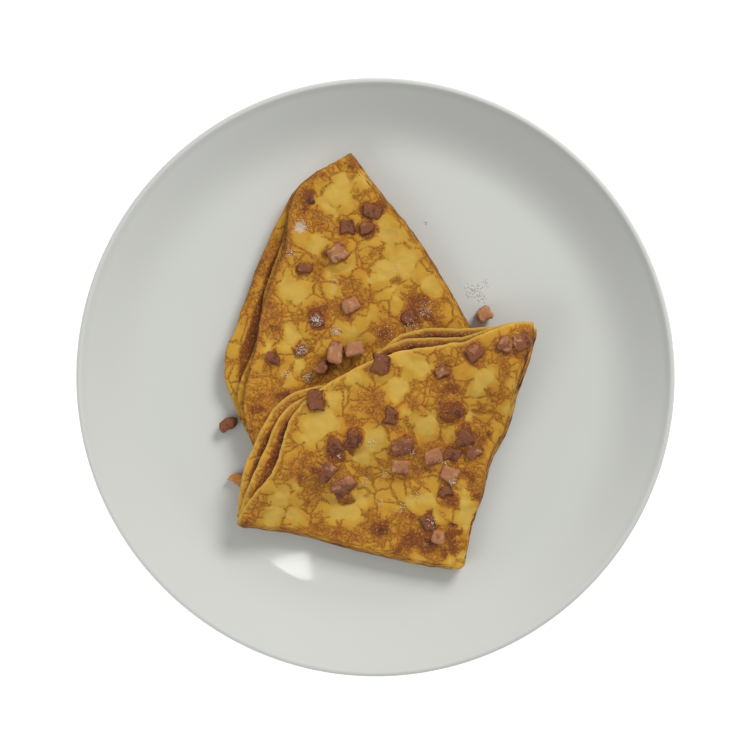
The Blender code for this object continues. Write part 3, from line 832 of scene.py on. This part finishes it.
def batter_material(settings):
    """Fried batter: smooth pale cells in a net of thin lines, grainy toasted zones with light grains that
    are partly painted highlights, and browned patches that are partly painted shade between the layers.
    """
    shader = Shader("fried_batter")
    crust, edge, fold, sheet, frost = (shader.attribute(mark) for mark in MARKS)
    apart = shader.add("ShaderNodeCombineXYZ", {}, {2: sheet * 0.03})
    place = shader.offset(shader.place(), apart)
    warped = shader.drift(shader.drift(place, 17 * MM, 3.0 * MM), 4.0 * MM, 1.1 * MM)
    warped = shader.drift(warped, 1.6 * MM, 0.35 * MM)
    cloud = shader.noise(place, 22 * MM, 2.0)
    spread = shader.noise(place, 6 * MM, 4.0, 0.6)
    grain = shader.noise(place, 1.4 * MM, 4.0, 0.7)
    fine = shader.noise(shader.offset(place, (0.2, 0.4, 0.6)), 0.9 * MM, 3.0, 0.65)
    rough = (grain - 0.5) * 0.14
    toast = crust + (cloud - 0.5) * 1.1 + (spread - 0.5) * 0.8 - 0.05

    sizes = (10 * MM, 4.6 * MM, 2.2 * MM)
    places = (warped, shader.offset(warped, (0.31, 0.17, 0.05)), shader.offset(warped, (0.11, 0.57, 0.29)))
    shown = (
        shader.step(toast + (spread - 0.5) * 0.8, -0.50, -0.20),
        shader.step(toast + (shader.cell(places[0], sizes[0]) - 0.5) * 0.5, 0.02, 0.14),
        shader.step(toast + (shader.cell(places[1], sizes[1]) - 0.5) * 0.5, 0.18, 0.32),
    )
    widths, strengths = (0.075, 0.14, 0.22), (0.85, 0.8, 0.7)
    net, round_cells = 0.0, 0.0
    for where, size, visible, width, strength in zip(places, sizes, shown, widths, strengths):
        line = shader.web(where, size, rough * (6 * MM / size) ** 0.5, width) * visible * strength
        corner = shader.corners(where, size, rough) * visible
        net = line.maximum(net)
        round_cells = corner.maximum(round_cells)
    bead = shader.step(fine, 0.36, 0.60) * 0.65 + 0.35
    net = net * bead

    mottle = shader.noise(place, 8 * MM, 3.0, 0.55)
    golden = round_cells * 0.6 + shader.step(toast, -0.20, 0.25) * 0.8
    amber = shader.step(toast + (spread - 0.5) * 0.6 + (grain - 0.5) * 0.5, 0.12, 0.50)
    speck = shader.step(fine + toast * 0.12, 0.56, 0.70) * shader.step(toast, 0.0, 0.35)
    stain = crust + (spread - 0.5) * 0.9 + (grain - 0.5) * 0.5
    patch = shader.step(stain, 0.42, 0.66)
    light = shader.noise(shader.offset(place, (0.7, 0.1, 0.3)), 1.1 * MM, 3.0, 0.65)
    rim = fold + (shader.noise(place, 7 * MM, 3.0, 0.65) - 0.5) * 2.4 + (grain - 0.5) * 0.5
    coats = (
        (settings.yellow, shader.step(toast + (mottle - 0.5) * 0.8, -0.75, -0.20)),
        (settings.olive, shader.step(mottle, 0.48, 0.75) * 0.5),
        (settings.golden, golden.minimum(1.0)),
        (settings.amber, amber * 0.75),
        (settings.net, net),
        (settings.net, speck * 0.55),
        # Browned and darkest patches, which on the layers below the top are partly painted shade.
        (settings.crust, patch * (0.65 + 0.45 * grain)),
        (settings.char, shader.step(stain + (fine - 0.5) * 0.8, 0.80, 1.10) * 0.7),
        # Light grains in the toasted zones, partly painted highlights.
        (settings.crumb_and_highlight, shader.step(light, 0.55, 0.68) * shader.step(toast, 0.10, 0.45) * 0.5),
        (settings.amber, shader.step(rim, 0.70, 1.00) * 0.5),
        (settings.crust, shader.step(rim, 0.88, 1.05) * 0.85),
        (settings.char, shader.step(rim, 1.02, 1.15) * 0.9),
        ([min(1, c * 1.15) for c in settings.pale], edge * 0.8),
        (settings.frost, shader.step(frost + (fine - 0.5) * 1.6, 0.55, 0.80) * 0.7),
    )
    shade = settings.pale
    for tint, share in coats:
        shade = shader.mix(shade, tint, share)

    puff = shader.step(shader.wall(places[0], sizes[0]), 0.0, 0.3) * 0.5
    puff = puff + shader.step(shader.wall(places[1], sizes[1]), 0.0, 0.35) * shown[1] * 0.35
    height = puff + grain * (0.10 + 0.4 * amber) + mottle * 0.25 - net * 0.15 + patch * fine * 0.4
    shader.set(
        base_color=shade,
        roughness=0.50 - 0.10 * patch - 0.14 * shader.step(mottle, 0.5, 0.7),
        normal=shader.bump(height, 0.45 * MM),
        specular_ior_level=0.3,
    )
    return shader.material


def make_pancakes():
    back = Pancake(
        tip=(53 * MM, 11 * MM),
        side_a=(195, 204.5),
        side_b=124,
        edges=BACK_EDGES,
        fold_waves=BACK_FOLD_WAVES,
        support=plate_surface,
        wave=0.6,
    )

    def under_front(x, y):
        """The plate, and the back pancake with a soft slope down beside it."""
        share = 1 - smoothstep((back.distance(x, y) - DRAPE_FLAT) / DRAPE_FALL)
        plate = plate_surface(x, y)
        return plate + (back.top(x, y) - plate) * share

    front = Pancake(
        tip=(41.2 * MM, -93.2 * MM),
        side_a=(72.5, 74),
        side_b=168.5,
        edges=FRONT_EDGES,
        fold_waves=FRONT_FOLD_WAVES,
        support=under_front,
        wave=2.4,
    )
    # Browning of each pancake, with painted shade deep between the layers and on the layers below the top.
    back.toast, back.edge_crust, back.lip, back.under_crust_and_shade = 0.18, 0.45, 0.15, (-0.05, 0.38)
    back.curl_height, back.painted_gap_shade, back.gap_from = 3.0 * MM, 0.7, 4.5 * MM
    front.toast, front.painted_gap_shade, front.under_crust_and_shade = 0.12, 0.7, (0.6, 0.2)
    for pancake, group in ((back, "bacon_back_"), (front, "bacon_front_")):
        pancake.settings = bpy.context.scene.pancake_batter
        for node in sorted(n for n in frame["nodes"] if n.startswith(group)):
            low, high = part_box(node)
            x, y = (low[0] + high[0]) / 2, (low[1] + high[1]) / 2
            half = min(high[0] - low[0], high[1] - low[1]) / 2
            style = bacon_style(node)
            rise = max(high[2] - pancake.top(x, y) - style["proud"], -DEEPEST_SINK)
            pancake.bacon.append((x, y, half, style["halo"], rise))
    return back, front


class PANCAKE_OT_pancakes(bpy.types.Operator):
    """Folds and fries the two pancakes"""

    bl_idname = "pancake.pancakes"
    bl_label = "Pancakes"

    def execute(self, context):
        settings = context.scene.pancake_batter
        noise.seed_set(settings.seed)
        batter = batter_material(settings)
        back, front = make_pancakes()
        for name, pancake, patches in (
            ("pancake_back", back, BACK_PATCHES), ("pancake_front", front, FRONT_PATCHES)
        ):
            mesh = build_sheet(name + "_fried", pancake, patches, settings)
            piece = add_piece(name + "_fried", mesh, batter, name)
            piece.vertex_groups.new(name="thin")
            modify(piece, "batter", "SOLIDIFY", thickness=SHEET, offset=0.0, vertex_group="thin")
            finish(piece)
            add_tip(piece, pancake)
        return {"FINISHED"}


# The bacon

def bacon_style(node):
    """How a piece was fried, with the name of its kind."""
    kinds = {"dark": DARK_BACON, "brown": BROWN_BACON, "rind": (SHRED,), "lump": (LUMP,)}
    name = next((kind for kind, nodes in kinds.items() if node in nodes), "pink")
    return {"name": name, **BACON_STYLES[name]}


def bacon_material(name, settings, lean, fried):
    """Cured meat with fatty streaks, browned where it lay in the pan and darker down its sides, which is
    partly browning and partly painted shade.
    """
    shader = Shader(name)
    place = shader.place()
    side = shader.attribute("side")
    grain = shader.noise(place, 1.1 * MM, 4.0, 0.6)
    streak = shader.noise(shader.drift(place, 5 * MM, 2 * MM), 3.2 * MM, 1.0)
    sear = shader.noise(place, 4.5 * MM, 3.0, 0.6)
    meat = shader.mix(lean, settings.fat, shader.step(streak, 0.56, 0.66) * 0.6)
    meat = shader.mix(meat, [c * 0.72 for c in lean], shader.step(grain, 0.52, 0.7) * 0.45)
    limit = 0.78 - fried * 0.62
    # Browner and darker down the sides: partly browning, partly painted shade.
    browned = shader.step(sear + (grain - 0.5) * 0.5 + side * 0.25, limit, limit + 0.20)
    meat = shader.mix(meat, settings.fried, browned * 0.9)
    dark = shader.step(sear + (grain - 0.5) * 0.9 + side * 0.35, limit + 0.34, limit + 0.56)
    shader.set(
        base_color=shader.mix(meat, settings.dark, dark * 0.85),
        roughness=0.34 + 0.25 * grain,
        normal=shader.bump(grain + streak * 0.4, 0.35 * MM),
        coat_weight=0.3 * shader.step(grain, 0.4, 0.6),
        coat_roughness=0.22,
    )
    return shader.material


class PANCAKE_OT_bacon(bpy.types.Operator):
    """Rounds and fries each piece of bacon"""

    bl_idname = "pancake.bacon"
    bl_label = "Bacon"

    def execute(self, context):
        settings = context.scene.pancake_bacon
        noise.seed_set(settings.seed)
        materials = {}
        for node in sorted(n for n in frame["nodes"] if n.startswith("bacon_")):
            style = bacon_style(node)
            name = "bacon_" + style["name"]
            if name not in materials:
                lean = settings.rind if node == SHRED else settings.lean
                materials[name] = bacon_material(name, settings, lean, style["fried"])
            mesh = frame["nodes"][node].data.copy()
            piece = add_piece(node + "_fried", mesh, materials[name], node)
            modify(piece, "weld", "WELD", merge_threshold=0.01 * MM)
            modify(piece, "grid", "REMESH", mode="VOXEL", voxel_size=settings.voxel)
            modify(piece, "soften", "SMOOTH", iterations=style["rounds"], factor=0.5)
            finish(piece)
            self.shape(piece.data, *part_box(node), style["warp"], node == SHRED)
        return {"FINISHED"}

    def shape(self, mesh, low, high, warp, tapered):
        """Warps a piece, fits it to its solid's box again, and marks how far down its sides are."""
        middle = (low[1] + high[1]) / 2
        for vert in mesh.vertices:
            shift = noise.noise_vector(vert.co * 160) * warp
            shift += noise.noise_vector(vert.co * 520) * (warp * 0.25)
            vert.co += Vector((shift.x, shift.y, shift.z * 0.15))
            if tapered:
                share = (vert.co.x - low[0]) / (high[0] - low[0])
                vert.co.y = middle + (vert.co.y - middle) * (0.3 + 0.7 * smoothstep(share * 1.4))
        for axis in range(3):
            reach = [vert.co[axis] for vert in mesh.vertices]
            start, end = min(reach), max(reach)
            grow = (high[axis] - low[axis]) / (end - start)
            for vert in mesh.vertices:
                vert.co[axis] = low[axis] + (vert.co[axis] - start) * grow
        # How far down a side a point lies; the material browns and darkens it there, partly as painted
        # shade.
        side = mesh.attributes.new("side", "FLOAT", "POINT")
        for vert, mark in zip(mesh.vertices, side.data):
            mark.value = smoothstep((high[2] - vert.co.z) / (high[2] - low[2]) * 1.6)
        mesh.update()


# The sugar

def grains(name, heaps, surface, settings, seed):
    """Little crystals strewn over a surface, as one mesh."""
    rng = random.Random(seed)
    bm = bmesh.new()
    for x, y, radius, count in heaps:
        for _ in range(count):
            angle = rng.uniform(0, 2 * math.pi)
            away = rng.uniform(0, 1) ** 0.7 * radius * MM
            px, py = x * MM + away * math.cos(angle), y * MM + away * math.sin(angle)
            size = settings.grain * rng.uniform(0.5, 1.25)
            spin = Euler([rng.uniform(0, math.pi) for _ in range(3)]).to_matrix().to_4x4()
            where = Matrix.Translation((px, py, surface(px, py) + size * 0.75)) @ spin
            bmesh.ops.create_icosphere(bm, subdivisions=1, radius=size, matrix=where)
    mesh = bpy.data.meshes.new(name)
    bm.to_mesh(mesh)
    bm.free()
    return mesh


class PANCAKE_OT_sugar(bpy.types.Operator):
    """Strews the sugar over the pancakes and the plate"""

    bl_idname = "pancake.sugar"
    bl_label = "Sugar"

    def execute(self, context):
        settings = context.scene.pancake_sugar
        context.view_layer.update()
        fried = [obj for obj in bpy.data.objects if obj.name.endswith("_fried")]

        def food(x, y):
            """Height of the finished food, or of the plate beside it."""
            hits = [piece.ray_cast((x, y, SKY), (0, 0, -1)) for piece in fried]
            return max((place.z for hit, place, _, _ in hits if hit), default=plate_surface(x, y))

        shader = Shader("sugar_crystal")
        glint = shader.noise(shader.place(), 0.6 * MM, 1.0)
        shader.set(
            base_color=shader.mix(settings.crystal, [c * 0.85 for c in settings.crystal], glint),
            roughness=0.18 + 0.2 * glint,
        )
        mesh = grains("sugar_on_pancakes", SUGAR_HEAPS, food, settings, 5)
        add_piece("sugar_on_pancakes", mesh, shader.material)
        mesh = grains("sugar_on_plate", PLATE_SUGAR, plate_surface, settings, 6)
        add_piece("sugar_on_plate", mesh, shader.material)
        return {"FINISHED"}


# The studio

def add_light(name, where, target, width, depth, **settings):
    light = bpy.data.lights.new(name, "AREA")
    light.shape = "RECTANGLE"
    light.size, light.size_y = width, depth
    for key, value in settings.items():
        setattr(light, key, value)
    lamp = bpy.data.objects.new(name, light)
    lamp.location = where
    lamp.rotation_euler = (Vector(target) - Vector(where)).to_track_quat("-Z", "Y").to_euler()
    bpy.context.scene.collection.objects.link(lamp)
    return lamp


class PANCAKE_OT_stage(bpy.types.Operator):
    """Sets up the table, the lights and the camera"""

    bl_idname = "pancake.stage"
    bl_label = "Studio"

    def execute(self, context):
        settings = context.scene.pancake_studio
        scene = context.scene
        bpy.ops.mesh.primitive_plane_add(size=6, location=(0, 0, 0))
        floor = context.object
        floor.name = "table_top"
        shader = Shader("table_white")
        tone = shader.noise(shader.place(), 0.3, 2.0)
        shader.set(base_color=shader.mix(settings.floor, [c * 0.98 for c in settings.floor], tone),
                   roughness=0.8, emission_color=(1, 1, 1), emission_strength=0.55)
        floor.data.materials.append(shader.material)

        world = bpy.data.worlds.new("studio")
        scene.world = world
        world.use_nodes = True
        sky = world.node_tree.nodes["Background"].inputs
        sky["Color"].default_value = (0.97, 0.985, 1.0, 1)
        sky["Strength"].default_value = settings.fill
        key = add_light("key", KEY_AT, (0, 0, 0), 1.0, 0.8, energy=settings.key_power,
                        color=(1.0, 0.985, 0.96))
        bounce = add_light("bounce", BOUNCE_AT, BOUNCE_AIM, 0.5, 0.4, energy=settings.bounce_power)
        key.visible_glossy = bounce.visible_glossy = False
        glint = add_light("glint", GLINT_AT, GLINT_AIM, 0.0535, 0.0326, energy=settings.glint_power,
                          color=(1.0, 0.99, 0.97), spread=GLINT_SPREAD)
        glint.rotation_euler.rotate_axis("Z", GLINT_TURN)
        glint.visible_diffuse = False

        camera = bpy.data.cameras.new("camera")
        camera.sensor_width = 36
        camera.lens = settings.lens
        eye = bpy.data.objects.new("camera", camera)
        eye.location = (0.0002, 0.0005, settings.camera_height)
        scene.collection.objects.link(eye)
        scene.camera = eye
        scene.view_settings.view_transform = "Standard"
        return {"FINISHED"}


class PANCAKE_PT_panel(bpy.types.Panel):
    """Lists the steps that make the dish"""

    bl_idname = "PANCAKE_PT_panel"
    bl_label = "Bacon Pancakes"
    bl_space_type = "VIEW_3D"
    bl_region_type = "UI"
    bl_category = "Pancakes"

    def draw(self, context):
        for group, operator in STEPS:
            box = self.layout.box()
            box.operator(operator.bl_idname)
            settings = getattr(context.scene, group)
            for key in settings.__annotations__:
                box.prop(settings, key)


GROUPS = {
    "pancake_plate": PlateSettings,
    "pancake_batter": PancakeSettings,
    "pancake_bacon": BaconSettings,
    "pancake_sugar": SugarSettings,
    "pancake_studio": StudioSettings,
}
STEPS = (
    ("pancake_plate", PANCAKE_OT_plate),
    ("pancake_batter", PANCAKE_OT_pancakes),
    ("pancake_bacon", PANCAKE_OT_bacon),
    ("pancake_sugar", PANCAKE_OT_sugar),
    ("pancake_studio", PANCAKE_OT_stage),
)
CLASSES = tuple(GROUPS.values()) + tuple(operator for _, operator in STEPS) + (PANCAKE_PT_panel,)


def register():
    for cls in CLASSES:
        bpy.utils.register_class(cls)
    for name, group in GROUPS.items():
        setattr(bpy.types.Scene, name, PointerProperty(type=group))


def unregister():
    for name in GROUPS:
        delattr(bpy.types.Scene, name)
    for cls in reversed(CLASSES):
        bpy.utils.unregister_class(cls)


def main():
    register()
    bpy.ops.pancake.plate()
    bpy.ops.pancake.pancakes()
    bpy.ops.pancake.bacon()
    bpy.ops.pancake.sugar()
    bpy.ops.pancake.stage()


if __name__ == "__main__":
    main()
